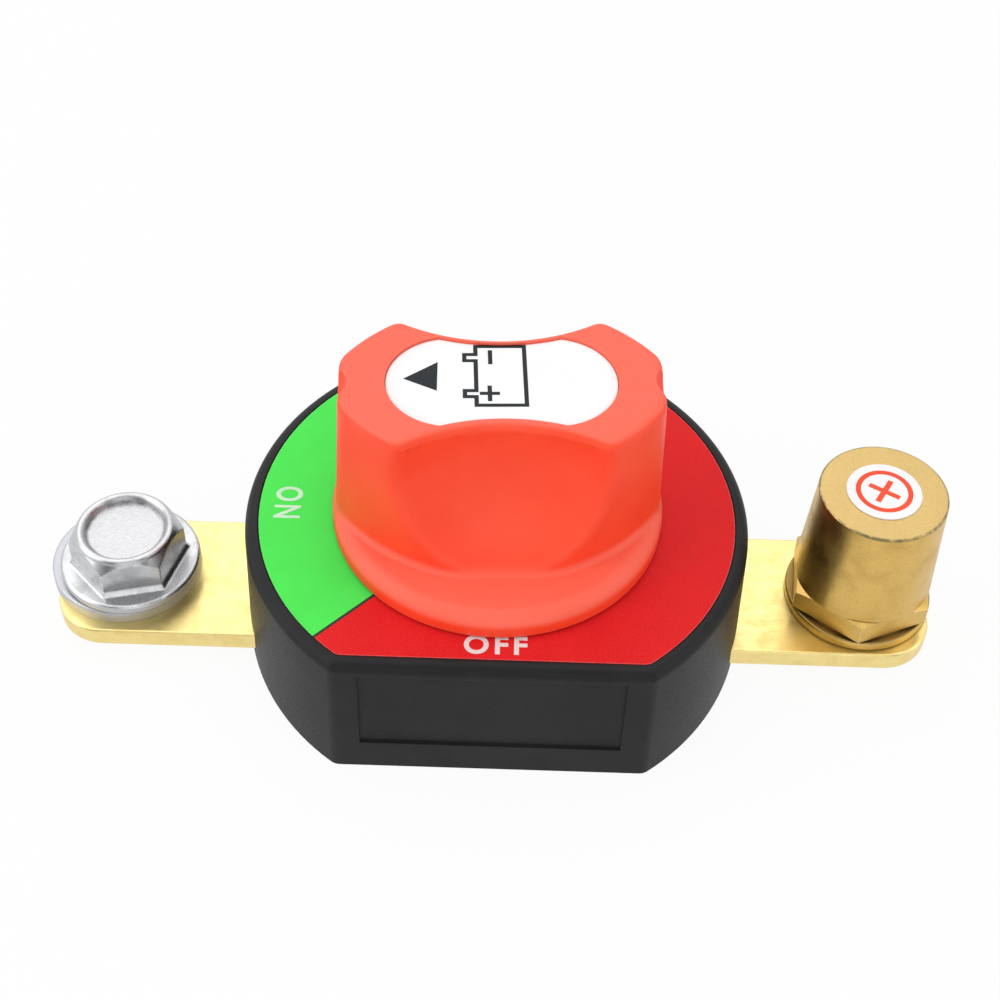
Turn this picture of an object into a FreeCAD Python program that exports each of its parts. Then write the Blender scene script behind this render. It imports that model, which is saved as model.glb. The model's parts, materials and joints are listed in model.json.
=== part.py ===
import FreeCAD, Part
import math
import os

# Battery terminal disconnect switch: a rotary switch in a flat-sided round case, between two bars.
# Frame: millimetres, +Z up, origin on the knob's axis at the underside of the case.
# +X runs to the battery post, -X to the cable bolt, -Y to the flat side that carries the OFF mark.

V = FreeCAD.Vector

# Clearances
running_gap = 0.05
fit_gap = 0.15
sweep_gap = 0.40

# Case
case_r = 34.5
case_flat = 27.7
case_height = 20.7
case_draft_deg = 2.1
case_wall = 2.4
case_top_wall = 3.0
case_corner_r = 2.0
case_rim_r = 1.5
label_margin = 1.75
label_recess = 0.30
label_thick = 0.25
panel_margin = 2.6
panel_bottom = 5.0
panel_top = 18.7
panel_depth = 0.35
bearing_wall = 2.4
bearing_height = 4.5
boss_r = 3.6
boss_wall_gap = 1.5
holddown_r = 2.5
holddown_half_pitch = 4.5

# Base cover and its screws
cover_thick = 1.65
guide_thick = 1.6
support_half_length = 8.0
support_gap = 2.75
support_thick = 2.0
screw_r = 1.45
screw_head_r = 2.8
screw_head_depth = 1.35
screw_length = 11.0
screw_slot = 0.7

# Bars
bar_width = 21.4
bar_thick = 3.0
bar_past_terminal = 9.8
bar_past_contact = 6.0
bar_end_r = 7.0
bar_edge_r = 0.35
terminal_reach = 17.7
terminal_push = 0.4
terminal_play = 0.5
peg_wall_gap = 6.9
peg_r = 2.0

# Fixed contacts, insulator and moving contact
contact_inset = 7.5
contact_head_r = 5.0
rivet_r = 2.5
insulator_thick = 1.2
insulator_margin = 1.5
insulator_past_peg = 3.0
insulator_ear_half = 8.0
bridge_width = 10.0
bridge_thick = 2.5
pad_r = 4.0
pad_height = 0.8
spring_seat_height = 1.0
spring_mean_r = 4.6
spring_wire_r = 0.7
spring_turns = 3.0

# Rotor
on_stop_deg = 2.8
travel_deg = 90.0
rotor_disc_thick = 3.2
spindle_r = 7.0
seal_cord_r = 0.9
fork_inset = 5.0
fork_wall = 3.2
spring_pocket_depth = 1.4
lug_height = 4.5
lug_gap = 0.5
lug_half_deg = 9.0
lug_deg = 90.0
stop_half_deg = 5.0
stop_play_deg = 0.8
stop_depth_r = 1.4
drive_square = 9.0
drive_height = 8.5
thrust_washer_width = 4.8
thrust_washer_thick = 0.5

# Knob
knob_lift = 0.3
knob_height = 24.0
flange_r = 22.5
flange_edge = 1.2
flange_round = 2.2
flange_crown = 1.2
flange_core_depth = 1.4
grip_wall_r = 25.0
grip_end_half = 2.57
grip_end_x = 22.0
grip_end_taper = 1.25
grip_corner_r = 4.0
grip_foot_r = 0.8
scoop_plan_r = 24.5
scoop_side_r = 18.5
scoop_sink = 5.2
scoop_mid_y = 8.35
scoop_edge_r = 2.0
thumb_r = 3.4
thumb_depth = 1.1
knob_edge_r = 1.1
knob_wall = 2.5
knob_hub_r = 8.0
knob_rib = 1.6
knob_web = 3.0

# Knob insert and screw
insert_half_length = 14.85
insert_end_r = 8.3
insert_lip = 1.4
insert_thick = 1.5
insert_recess = 0.35
insert_peg_r = 1.5
insert_peg_length = 2.0
insert_peg_x = 10.5
knob_screw_r = 2.0
knob_screw_head_r = 4.0
knob_screw_head_height = 2.6
knob_screw_length = 14.0
knob_washer_r = 4.6
knob_washer_thick = 0.8
cross_slot_depth = 1.4

# Battery post
thread_r = 5.0
post_top_r = 8.77
post_taper = 1.0 / 9.0
post_length = 16.1
post_hex = 18.5
post_hex_height = 4.0
post_hex_deg = 23.0
post_collar_height = 0.45
post_collar_margin = 0.1
post_edge_r = 0.25
post_washer_r = 10.35
washer_thick = 1.55
washer_edge_r = 0.3
stud_below_bar = 0.9
post_label_r = 5.1
post_label_thick = 0.15

# Cable bolt
bolt_hex = 14.0
bolt_hex_deg = 13.5
bolt_hex_edge_r = 0.3
bolt_foot_hex = 14.8
bolt_foot_height = 0.65
bolt_head_height = 7.7
bolt_flange_r = 9.8
bolt_flange_edge = 1.6
bolt_flange_lip = 0.3
bolt_ring_r = 6.9
bolt_ring_width = 1.15
bolt_ring_drop = 0.55
bolt_bevel_slope = 1.4
bolt_dish_depth = 1.15
bolt_dish_lean = 0.4
bolt_washer_r = 10.5
bolt_washer_thick = 2.0
bolt_washer_play = 1.3
bolt_washer_deg = 132.0

# Levels worked out from the sizes above
bar_bottom = cover_thick
bar_top = bar_bottom + bar_thick
insulator_top = bar_top + insulator_thick
plate_z = case_height - case_top_wall
rotor_top = plate_z - thrust_washer_thick - running_gap
rotor_disc_bottom = rotor_top - rotor_disc_thick
bridge_pad_z = insulator_top + running_gap
bridge_bottom = bridge_pad_z + pad_height
bridge_top = bridge_bottom + bridge_thick
fork_bottom = insulator_top + sweep_gap
spring_ceiling = rotor_disc_bottom + spring_pocket_depth
bearing_top = case_height + bearing_height
drive_bottom = bearing_top + running_gap
drive_top = drive_bottom + drive_height
knob_bottom = case_height + knob_lift
knob_top = knob_bottom + knob_height
pocket_floor = knob_top - insert_recess - insert_thick
web_top = drive_top + knob_web
washer_top = bar_top + washer_thick
bolt_seat = bar_top + bolt_washer_thick
seal_z = case_height + bearing_height / 2.0

# Radii and places worked out from the sizes above
bore_r = spindle_r + running_gap
bearing_r = bore_r + bearing_wall
seal_ring_r = spindle_r - seal_cord_r
cavity_r = case_r - case_wall
cavity_flat = case_flat - case_wall
panel_half_width = math.sqrt((case_r - case_corner_r) ** 2 - (case_flat - case_corner_r) ** 2) - panel_margin
terminal_x = case_r + terminal_reach
bar_end_x = terminal_x + bar_past_terminal
peg_x = cavity_r - peg_wall_gap
insulator_ear_x = peg_x + insulator_past_peg
guide_outer = bar_width / 2.0 + fit_gap + guide_thick
support_y = guide_outer + support_gap
boss_place_r = cavity_r - boss_r - boss_wall_gap
boss_y = (guide_outer + cavity_flat) / 2.0
boss_x = math.sqrt(boss_place_r ** 2 - boss_y ** 2)
boss_places = [V(side * boss_x, way * boss_y, 0) for side, way in ((1, 1), (1, -1), (-1, -1), (-1, 1))]
swing_r = min(boss_place_r - boss_r, cavity_flat)
lug_r = swing_r - stop_depth_r - lug_gap
rotor_disc_r = lug_r - lug_height
fork_half_length = rotor_disc_r - fork_inset
contact_x = lug_r - contact_inset
bar_inner_x = contact_x - bar_past_contact
insulator_r = contact_x + contact_head_r + insulator_margin
bridge_reach = contact_x + bridge_width / 2.0
thrust_washer_r = bore_r + fit_gap + thrust_washer_width
grip_wall_offset = math.sqrt(grip_wall_r ** 2 - grip_end_x ** 2) - grip_end_half
scoop_y = scoop_mid_y + scoop_plan_r
shank_r = thread_r - running_gap


def cylinder(radius, z0, z1, x=0.0, y=0.0):
    return Part.makeCylinder(radius, z1 - z0, V(x, y, z0))


def ring(outer, inner, z0, z1, x=0.0, y=0.0):
    return cylinder(outer, z0, z1, x, y).cut(cylinder(inner, z0 - 1, z1 + 1, x, y))


def block(x0, x1, y0, y1, z0, z1):
    return Part.makeBox(x1 - x0, y1 - y0, z1 - z0, V(x0, y0, z0))


def line(a, b):
    return Part.LineSegment(a, b).toShape()


def arc(a, middle, b):
    return Part.Arc(a, middle, b).toShape()


def prism(edges, height):
    face = Part.Face(Part.Wire(Part.__sortEdges__(edges)))
    return face.extrude(V(0, 0, height))


def turned(points):
    """Solid of revolution about Z from (radius, z) points."""
    corners = [V(r, 0, z) for r, z in points]
    face = Part.Face(Part.makePolygon(corners + corners[:1]))
    return face.revolve(V(0, 0, 0), V(0, 0, 1), 360)


def hexagon_wire(across_flats, z, turn_deg):
    """Hexagon about Z with a corner at turn_deg."""
    corner_r = across_flats / 2.0 / math.cos(math.radians(30))
    corners = []
    for step in range(7):
        angle = math.radians(turn_deg + 60 * step)
        corners.append(V(corner_r * math.cos(angle), corner_r * math.sin(angle), z))
    return Part.makePolygon(corners)


def hexagon(across_flats, z0, z1, turn_deg):
    return Part.Face(hexagon_wire(across_flats, z0, turn_deg)).extrude(V(0, 0, z1 - z0))


def sector(r0, r1, middle_deg, half_deg, z0, z1):
    """Piece of a ring between two radii and two angles."""
    def at(radius, degrees):
        angle = math.radians(degrees)
        return V(radius * math.cos(angle), radius * math.sin(angle), z0)

    first, last = middle_deg - half_deg, middle_deg + half_deg
    edges = [
        line(at(r0, first), at(r1, first)),
        arc(at(r1, first), at(r1, middle_deg), at(r1, last)),
        line(at(r1, last), at(r0, last)),
        arc(at(r0, last), at(r0, middle_deg), at(r0, first)),
    ]
    return prism(edges, z1 - z0)


def edges_at(shape, z, tolerance=0.001):
    """Edges that lie wholly at one level."""
    return [e for e in shape.Edges
            if abs(e.BoundBox.ZMin - z) < tolerance and abs(e.BoundBox.ZMax - z) < tolerance]


def outer_edge(shape, z):
    return max(edges_at(shape, z), key=lambda e: e.Length)


def flat_sided_round(radius, flat, corner, z):
    """Wire of a circle with flats at +Y and -Y and rounded corners between arc and flat."""
    corner_x = math.sqrt((radius - corner) ** 2 - (flat - corner) ** 2)
    reach = radius / (radius - corner)
    on_arc = V(corner_x * reach, (flat - corner) * reach, z)
    centre = V(corner_x, flat - corner, z)
    way = math.atan2(flat - corner, corner_x)
    middle_angle = (way + math.pi / 2) / 2
    middle = centre + V(math.cos(middle_angle), math.sin(middle_angle), 0) * corner

    def flip(point, sx, sy):
        return V(point.x * sx, point.y * sy, z)

    on_flat = V(corner_x, flat, z)
    edges = []
    for sy in (1, -1):
        edges.append(line(flip(on_flat, -1, sy), flip(on_flat, 1, sy)))
    for sx in (1, -1):
        edges.append(arc(flip(on_arc, sx, 1), V(radius * sx, 0, z), flip(on_arc, sx, -1)))
        for sy in (1, -1):
            edges.append(arc(flip(on_flat, sx, sy), flip(middle, sx, sy), flip(on_arc, sx, sy)))
    return Part.Wire(Part.__sortEdges__(edges))


def flat_sided_solid(radius, flat, corner, z0, z1):
    face = Part.Face(flat_sided_round(radius, flat, corner, z0))
    return face.extrude(V(0, 0, z1 - z0))


def case_spread(z):
    """How far the drafted side stands out beyond its size at the top."""
    return (case_height - z) * math.tan(math.radians(case_draft_deg))


def case_outer():
    low, high = [
        flat_sided_round(case_r + case_spread(z), case_flat + case_spread(z), case_corner_r, z)
        for z in (0.0, case_height)
    ]
    return Part.makeLoft([low, high], True, True)


def side_panel():
    """Cutter for the shallow panel sunk into each flat, parallel to the drafted face."""
    floor_low = case_flat + case_spread(panel_bottom) - panel_depth
    floor_high = case_flat + case_spread(panel_top) - panel_depth
    outside = case_flat + case_spread(0) + 1
    corners = [
        V(-panel_half_width, -floor_low, panel_bottom),
        V(-panel_half_width, -floor_high, panel_top),
        V(-panel_half_width, -outside, panel_top),
        V(-panel_half_width, -outside, panel_bottom),
    ]
    return Part.Face(Part.makePolygon(corners + corners[:1])).extrude(V(2 * panel_half_width, 0, 0))


def bar_slots(gap, z0, z1):
    """Blocks the width of the bars, through both round sides of the case."""
    half = bar_width / 2.0 + gap
    outside = case_r + case_spread(0) + 1
    inside = cavity_r - case_wall
    right = block(inside, outside, -half, half, z0, z1)
    left = block(-outside, -inside, -half, half, z0, z1)
    return right, left


def housing_shell():
    shell = case_outer()
    shell = shell.makeFillet(case_rim_r, edges_at(shell, case_height))
    panel = side_panel()
    shell = shell.cut(panel).cut(panel.rotated(V(0, 0, 0), V(0, 0, 1), 180))
    shell = shell.cut(flat_sided_solid(cavity_r, cavity_flat, case_corner_r, -1, plate_z))
    margin_r, margin_flat = case_r - label_margin, case_flat - label_margin
    recess = flat_sided_solid(margin_r, margin_flat, case_corner_r, case_height - label_recess, case_height + 1)
    shell = shell.cut(recess)
    for slot in bar_slots(fit_gap, -1, bar_top + fit_gap):
        shell = shell.cut(slot)
    shell = shell.fuse(cylinder(bearing_r, plate_z, bearing_top))
    for place in boss_places:
        shell = shell.fuse(cylinder(boss_r, cover_thick, plate_z, place.x, place.y))
    for side in (1, -1):
        for way in (1, -1):
            y = way * holddown_half_pitch
            shell = shell.fuse(cylinder(holddown_r, insulator_top, plate_z, side * peg_x, y))
    for stop in case_stops():
        shell = shell.fuse(stop)
    shell = shell.cut(cylinder(bore_r, 0, bearing_top + 1))
    for place in boss_places:
        shell = shell.cut(cylinder(screw_r + running_gap, 0, screw_length + 0.5, place.x, place.y))
    return shell.removeSplitter()


def case_stops():
    """Blocks under the case top that the rotor's lug meets at on and at off."""
    inner = rotor_disc_r + sweep_gap
    outer = lug_r + stop_depth_r
    gap = lug_half_deg + stop_play_deg + stop_half_deg
    on_at = lug_deg + on_stop_deg - gap
    off_at = lug_deg + on_stop_deg + travel_deg + gap
    return [sector(inner, outer, angle, stop_half_deg, rotor_disc_bottom, plate_z) for angle in (on_at, off_at)]


def dial_label():
    margin = label_margin + fit_gap
    z0 = case_height - label_recess
    sheet = flat_sided_solid(case_r - margin, case_flat - margin, case_corner_r, z0, z0 + label_thick)
    return sheet.cut(cylinder(bearing_r + fit_gap, z0 - 1, z0 + 1))


def base_cover():
    plate = flat_sided_solid(cavity_r - fit_gap, cavity_flat - fit_gap, case_corner_r, 0, cover_thick)
    for tab in bar_slots(0.0, 0, bar_bottom):
        plate = plate.fuse(tab.common(case_outer()))
    half = bar_width / 2.0 + fit_gap
    guide_end = cavity_r - 2 * case_wall
    for way in (1, -1):
        low, high = sorted((way * half, way * (half + guide_thick)))
        plate = plate.fuse(block(-guide_end, guide_end, low, high, cover_thick, bar_top))
        low, high = sorted((way * support_y, way * (support_y + support_thick)))
        plate = plate.fuse(block(-support_half_length, support_half_length, low, high, cover_thick, bar_top))
        peg = cylinder(peg_r, cover_thick, bar_top + insulator_thick / 2.0, way * peg_x, 0)
        plate = plate.fuse(peg)
    middle = bar_inner_x - fit_gap
    plate = plate.fuse(block(-middle, middle, -half, half, cover_thick, bar_top))
    for place in boss_places:
        plate = plate.cut(cylinder(boss_r + fit_gap, cover_thick, bar_top + 1, place.x, place.y))
        hole = cylinder(screw_r + fit_gap, -1, cover_thick + 1, place.x, place.y)
        sink = Part.makeCone(screw_head_r + running_gap, screw_r + running_gap, screw_head_depth,
                             V(place.x, place.y, 0))
        plate = plate.cut(hole).cut(sink)
    return plate.removeSplitter()


def base_screw(place):
    """Countersunk self-tapping screw with a straight slot, head flush with the cover."""
    head = Part.makeCone(screw_head_r, screw_r, screw_head_depth, V(0, 0, 0))
    tip = Part.makeCone(screw_r, screw_r / 2.0, screw_r, V(0, 0, screw_length - screw_r))
    screw = head.fuse(cylinder(screw_r, screw_head_depth / 2.0, screw_length - screw_r)).fuse(tip)
    slot = block(-screw_head_r, screw_head_r, -screw_slot / 2.0, screw_slot / 2.0, -1, screw_head_depth / 2.0)
    screw = screw.cut(slot).removeSplitter()
    screw.translate(place)
    return screw


def bar():
    """Brass bar to the right; the left one is its mirror."""
    half = bar_width / 2.0
    corner = bar_end_r
    mid = corner * (1 - math.cos(math.radians(45)))
    edges = [
        line(V(bar_inner_x, -half, bar_bottom), V(bar_end_x - corner, -half, bar_bottom)),
        arc(V(bar_end_x - corner, -half, bar_bottom), V(bar_end_x - mid, -half + mid, bar_bottom),
            V(bar_end_x, -half + corner, bar_bottom)),
        line(V(bar_end_x, -half + corner, bar_bottom), V(bar_end_x, half - corner, bar_bottom)),
        arc(V(bar_end_x, half - corner, bar_bottom), V(bar_end_x - mid, half - mid, bar_bottom),
            V(bar_end_x - corner, half, bar_bottom)),
        line(V(bar_end_x - corner, half, bar_bottom), V(bar_inner_x, half, bar_bottom)),
        line(V(bar_inner_x, half, bar_bottom), V(bar_inner_x, -half, bar_bottom)),
    ]
    body = prism(edges, bar_thick)
    body = body.makeFillet(bar_edge_r, edges_at(body, bar_top) + edges_at(body, bar_bottom))
    holes = (
        (terminal_x, thread_r + terminal_play),
        (peg_x, peg_r + running_gap),
        (contact_x, rivet_r + running_gap),
    )
    for x, radius in holes:
        body = body.cut(cylinder(radius, 0, bar_top + 1, x))
    return body


def fixed_contact(x):
    """Contact rivet: head on the bar, shank flush with the bar's underside."""
    head = cylinder(contact_head_r, bar_top, insulator_top, x)
    head = head.makeChamfer(0.2, edges_at(head, insulator_top))
    return head.fuse(cylinder(rivet_r, bar_bottom, bar_top, x))


def insulator_plate():
    plate = cylinder(insulator_r, bar_top, insulator_top)
    ears = block(-insulator_ear_x, insulator_ear_x, -insulator_ear_half, insulator_ear_half, bar_top, insulator_top)
    upright = [e for e in ears.Edges if e.BoundBox.ZLength > insulator_thick / 2.0]
    plate = plate.fuse(ears.makeFillet(3.0, upright))
    for side in (1, -1):
        plate = plate.cut(cylinder(contact_head_r + fit_gap, 0, insulator_top + 1, side * contact_x))
        plate = plate.cut(cylinder(peg_r + fit_gap, 0, insulator_top + 1, side * peg_x))
    return plate.removeSplitter()


def contact_bridge():
    """Copper bar with a round pad under each end and a seat for the spring on top."""
    half = bridge_width / 2.0
    straight = bridge_reach - half
    bottom = bridge_bottom
    edges = [
        line(V(-straight, -half, bottom), V(straight, -half, bottom)),
        arc(V(straight, -half, bottom), V(bridge_reach, 0, bottom), V(straight, half, bottom)),
        line(V(straight, half, bottom), V(-straight, half, bottom)),
        arc(V(-straight, half, bottom), V(-bridge_reach, 0, bottom), V(-straight, -half, bottom)),
    ]
    body = prism(edges, bridge_thick)
    for side in (1, -1):
        pad = cylinder(pad_r, bridge_pad_z, bridge_bottom + bridge_thick / 2.0, side * contact_x)
        body = body.fuse(pad.makeFillet(pad_height / 2.0, edges_at(pad, bridge_pad_z)))
    seat_r = spring_mean_r - spring_wire_r - fit_gap
    body = body.fuse(cylinder(seat_r, bridge_bottom, bridge_top + spring_seat_height))
    return body.removeSplitter()


def contact_spring():
    """Coil spring between the bridge and the rotor, its two ends ground flat."""
    height = spring_ceiling - bridge_top
    coil = Part.makeHelix(height / spring_turns, height, spring_mean_r)
    section = Part.Wire(Part.Circle(V(spring_mean_r, 0, 0), V(0, 1, 0), spring_wire_r).toShape())
    body = Part.Wire(coil.Edges).makePipeShell([section], True, True)
    body.translate(V(0, 0, bridge_top))
    reach = spring_mean_r + 2 * spring_wire_r
    return body.common(cylinder(reach, bridge_top, spring_ceiling))


def rotor():
    """Carrier disc with stop lug, fork round the bridge, spindle, seal groove and drive square."""
    body = cylinder(rotor_disc_r, rotor_disc_bottom, rotor_top)
    lug_root = rotor_disc_r - rotor_disc_thick
    body = body.fuse(sector(lug_root, lug_r, lug_deg, lug_half_deg, rotor_disc_bottom, rotor_top))
    half = bridge_width / 2.0 + fit_gap
    for way in (1, -1):
        low, high = sorted((way * half, way * (half + fork_wall)))
        body = body.fuse(block(-fork_half_length, fork_half_length, low, high, fork_bottom, rotor_disc_bottom + 1))
    body = body.fuse(cylinder(spindle_r, rotor_disc_bottom, drive_bottom))
    side = drive_square / 2.0
    drive = block(-side, side, -side, side, drive_bottom - 1, drive_top)
    body = body.fuse(drive)
    pocket_r = spring_mean_r + spring_wire_r + fit_gap
    body = body.cut(cylinder(pocket_r, fork_bottom, spring_ceiling))
    groove_r = spindle_r - 2 * seal_cord_r - running_gap
    groove_half = seal_cord_r + running_gap
    body = body.cut(ring(spindle_r + 1, groove_r, seal_z - groove_half, seal_z + groove_half))
    pilot_bottom = web_top + knob_washer_thick - knob_screw_length - 0.5
    body = body.cut(cylinder(knob_screw_r + running_gap, pilot_bottom, drive_top + 1))
    return body.removeSplitter()


def shaft_seal():
    return Part.makeTorus(seal_ring_r, seal_cord_r, V(0, 0, seal_z), V(0, 0, 1))


def thrust_washer():
    return ring(thrust_washer_r, bore_r + fit_gap, plate_z - thrust_washer_thick, plate_z)


def grip_outline(end_x, wall_r, z):
    """Plan of the grip: two wide arcs at front and back, cut off by straight ends."""
    end_y = math.sqrt(wall_r ** 2 - end_x ** 2) - grip_wall_offset
    nose = wall_r - grip_wall_offset
    edges = [
        arc(V(-end_x, -end_y, z), V(0, -nose, z), V(end_x, -end_y, z)),
        line(V(end_x, -end_y, z), V(end_x, end_y, z)),
        arc(V(end_x, end_y, z), V(0, nose, z), V(-end_x, end_y, z)),
        line(V(-end_x, end_y, z), V(-end_x, -end_y, z)),
    ]
    return Part.Wire(edges)


def grip():
    """Solid grip with its vertical corners rounded and a finger scoop cut into front and back."""
    low = grip_outline(grip_end_x, grip_wall_r, knob_bottom + flange_edge)
    high = grip_outline(grip_end_x - grip_end_taper, grip_wall_r, knob_top)
    body = Part.makeLoft([low, high], True, True)
    upright = [e for e in body.Edges if e.BoundBox.ZLength > knob_height / 2.0]
    body = body.makeFillet(grip_corner_r, upright)
    for scoop in finger_scoops(0.0):
        body = body.cut(scoop)
    rims = [e for e in body.Edges if e.BoundBox.XLength > scoop_mid_y and e.BoundBox.ZLength > scoop_edge_r]
    return body.makeFillet(scoop_edge_r, rims)


def finger_scoops(grow):
    """Barrel-shaped cutters in front and behind, widest a little below the knob's top."""
    side_r = scoop_side_r + grow
    barrel_x = scoop_plan_r - math.sqrt(scoop_side_r ** 2 - scoop_sink ** 2)
    middle_z = knob_top - scoop_sink
    end_x = barrel_x + math.sqrt(side_r ** 2 - (scoop_sink + 1) ** 2)
    edges = [
        line(V(0, 0, middle_z - side_r), V(barrel_x, 0, middle_z - side_r)),
        arc(V(barrel_x, 0, middle_z - side_r), V(barrel_x + side_r, 0, middle_z), V(end_x, 0, knob_top + 1)),
        line(V(end_x, 0, knob_top + 1), V(0, 0, knob_top + 1)),
        line(V(0, 0, knob_top + 1), V(0, 0, middle_z - side_r)),
    ]
    barrel = Part.Face(Part.Wire(edges)).revolve(V(0, 0, 0), V(0, 0, 1), 360)
    return [barrel.translated(V(0, side * scoop_y, 0)) for side in (1, -1)]


def thumb_marks():
    """Round finger marks at the top of the two straight ends."""
    centre_x = grip_end_x - grip_end_taper - thumb_depth + thumb_r
    return [Part.makeSphere(thumb_r, V(side * centre_x, 0, knob_top)) for side in (1, -1)]


def knob_flange():
    """Round foot of the knob: upright edge, large rounding, then a low crown."""
    z0 = knob_bottom
    z1 = z0 + flange_edge
    z2 = z1 + flange_round
    inner = flange_r - flange_round
    mid = flange_round * math.cos(math.radians(45))
    edges = [
        line(V(0, 0, z0), V(flange_r, 0, z0)),
        line(V(flange_r, 0, z0), V(flange_r, 0, z1)),
        arc(V(flange_r, 0, z1), V(inner + mid, 0, z1 + mid), V(inner, 0, z2)),
        line(V(inner, 0, z2), V(0, 0, z2 + flange_crown)),
        line(V(0, 0, z2 + flange_crown), V(0, 0, z0)),
    ]
    return Part.Face(Part.Wire(edges)).revolve(V(0, 0, 0), V(0, 0, 1), 360)


def insert_outline(gap, z):
    """Plan of the insert: round ends, long sides parallel to the edges of the finger scoops."""
    end_r = insert_end_r - gap
    side_r = scoop_plan_r + insert_lip + gap
    end_x = insert_half_length - insert_end_r
    span = math.hypot(end_x, scoop_y)
    along = (end_r ** 2 - side_r ** 2 + span ** 2) / (2 * span)
    off = math.sqrt(end_r ** 2 - along ** 2)
    unit_x, unit_y = -end_x / span, scoop_y / span
    corner_x = end_x + along * unit_x + off * unit_y
    corner_y = along * unit_y - off * unit_x
    tip = end_x + end_r
    waist = scoop_y - side_r
    edges = [
        arc(V(corner_x, -corner_y, z), V(tip, 0, z), V(corner_x, corner_y, z)),
        arc(V(corner_x, corner_y, z), V(0, waist, z), V(-corner_x, corner_y, z)),
        arc(V(-corner_x, corner_y, z), V(-tip, 0, z), V(-corner_x, -corner_y, z)),
        arc(V(-corner_x, -corner_y, z), V(0, -waist, z), V(corner_x, -corner_y, z)),
    ]
    return Part.Wire(edges)


def knob():
    body = grip().fuse(knob_flange()).removeSplitter()
    body = body.makeFillet(grip_foot_r, foot_edges(body))
    body = body.makeFillet(min(knob_edge_r, 0.9 * insert_lip), edges_at(body, knob_top))
    for mark in thumb_marks():
        body = body.cut(mark)
    body = body.cut(Part.Face(insert_outline(0.0, pocket_floor)).extrude(V(0, 0, knob_height)))
    return body.cut(knob_hollow()).cut(knob_bores()).removeSplitter()


def foot_edges(body):
    """Edges where the grip's walls meet the flange, all the way round."""
    low = knob_bottom + flange_edge
    high = low + flange_round + flange_crown
    nose = grip_wall_r - grip_wall_offset + running_gap
    return [e for e in body.Edges
            if e.BoundBox.ZMin > low + running_gap and e.BoundBox.ZMax < high
            and e.BoundBox.YMin > -nose and e.BoundBox.YMax < nose]


def knob_hollow():
    """Space inside the knob, leaving walls, the hub and four ribs."""
    top = pocket_floor - knob_wall
    plan = grip_outline(grip_end_x - grip_end_taper - knob_wall, grip_wall_r - knob_wall, knob_bottom - 1)
    space = Part.Face(plan).extrude(V(0, 0, top - knob_bottom + 1))
    for scoop in finger_scoops(knob_wall):
        space = space.cut(scoop)
    core_r = flange_r - flange_round
    space = space.fuse(cylinder(core_r, knob_bottom - 1, knob_bottom + flange_core_depth))
    hub_bottom = bearing_top + sweep_gap
    rib = knob_rib / 2.0
    keep = cylinder(knob_hub_r, hub_bottom, knob_top)
    keep = keep.fuse(block(-flange_r, flange_r, -rib, rib, hub_bottom, knob_top))
    keep = keep.fuse(block(-rib, rib, -flange_r, flange_r, hub_bottom, knob_top))
    return space.cut(keep)


def knob_bores():
    """Square socket for the spindle, screw hole through the web, well for the screw head, insert pegs."""
    side = drive_square / 2.0 + running_gap
    bores = block(-side, side, -side, side, knob_bottom, drive_top)
    bores = bores.fuse(cylinder(knob_screw_r + fit_gap, drive_top - 1, web_top + 1))
    bores = bores.fuse(cylinder(knob_washer_r + fit_gap, web_top, knob_top))
    for way in (1, -1):
        peg = cylinder(insert_peg_r + fit_gap, pocket_floor - insert_peg_length - fit_gap, knob_top,
                       way * insert_peg_x)
        bores = bores.fuse(peg)
    return bores


def knob_insert():
    plate = Part.Face(insert_outline(fit_gap / 2.0, pocket_floor)).extrude(V(0, 0, insert_thick))
    for way in (1, -1):
        peg = cylinder(insert_peg_r, pocket_floor - insert_peg_length, pocket_floor + insert_thick / 2.0,
                       way * insert_peg_x)
        plate = plate.fuse(peg)
    return plate.removeSplitter()


def knob_screw():
    """Pan head screw with a cross recess, down through the knob's web into the spindle."""
    seat = web_top + knob_washer_thick
    head = cylinder(knob_screw_head_r, seat, seat + knob_screw_head_height)
    head = head.makeFillet(knob_screw_head_height / 2.0, edges_at(head, seat + knob_screw_head_height))
    shank = cylinder(knob_screw_r, seat - knob_screw_length, seat)
    shank = shank.makeChamfer(knob_screw_r / 3.0, edges_at(shank, seat - knob_screw_length))
    screw = head.fuse(shank)
    reach = knob_screw_head_r / 2.0
    slot = knob_screw_r / 4.0
    slot_z = seat + knob_screw_head_height - cross_slot_depth
    for long_x, long_y in ((reach, slot), (slot, reach)):
        screw = screw.cut(block(-long_x, long_x, -long_y, long_y, slot_z, knob_top))
    return screw.removeSplitter()


def knob_screw_washer():
    return ring(knob_washer_r, knob_screw_r + fit_gap, web_top, web_top + knob_washer_thick)


def terminal_post():
    """Tapered battery post, hexagon with a round collar under it, and threaded stud, in one piece of brass."""
    base = washer_top + post_hex_height
    top = base + post_length
    base_r = post_top_r + post_length * post_taper / 2.0
    cone = Part.makeCone(base_r, post_top_r, post_length, V(0, 0, base))
    cone = cone.makeFillet(post_edge_r, edges_at(cone, top))
    corner_r = post_hex / 2.0 / math.cos(math.radians(30))
    bevel = corner_r - post_hex / 2.0
    collar_r = post_hex / 2.0 - post_collar_margin
    collar_top = washer_top + post_collar_height
    envelope = turned([
        (0, washer_top),
        (collar_r, washer_top),
        (collar_r, collar_top),
        (corner_r, collar_top),
        (corner_r, base - bevel / 2.0),
        (corner_r - bevel, base),
        (0, base),
    ])
    body = hexagon(post_hex, washer_top, base, post_hex_deg).common(envelope).fuse(cone)
    body = body.fuse(stud(washer_top))
    body.translate(V(terminal_x, terminal_push, 0))
    return body


def stud(seat):
    """Threaded end below a terminal, its tip chamfered."""
    tip = bar_bottom - stud_below_bar
    shank = cylinder(shank_r, tip, seat)
    return shank.makeChamfer(stud_below_bar / 2.0, edges_at(shank, tip))


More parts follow.
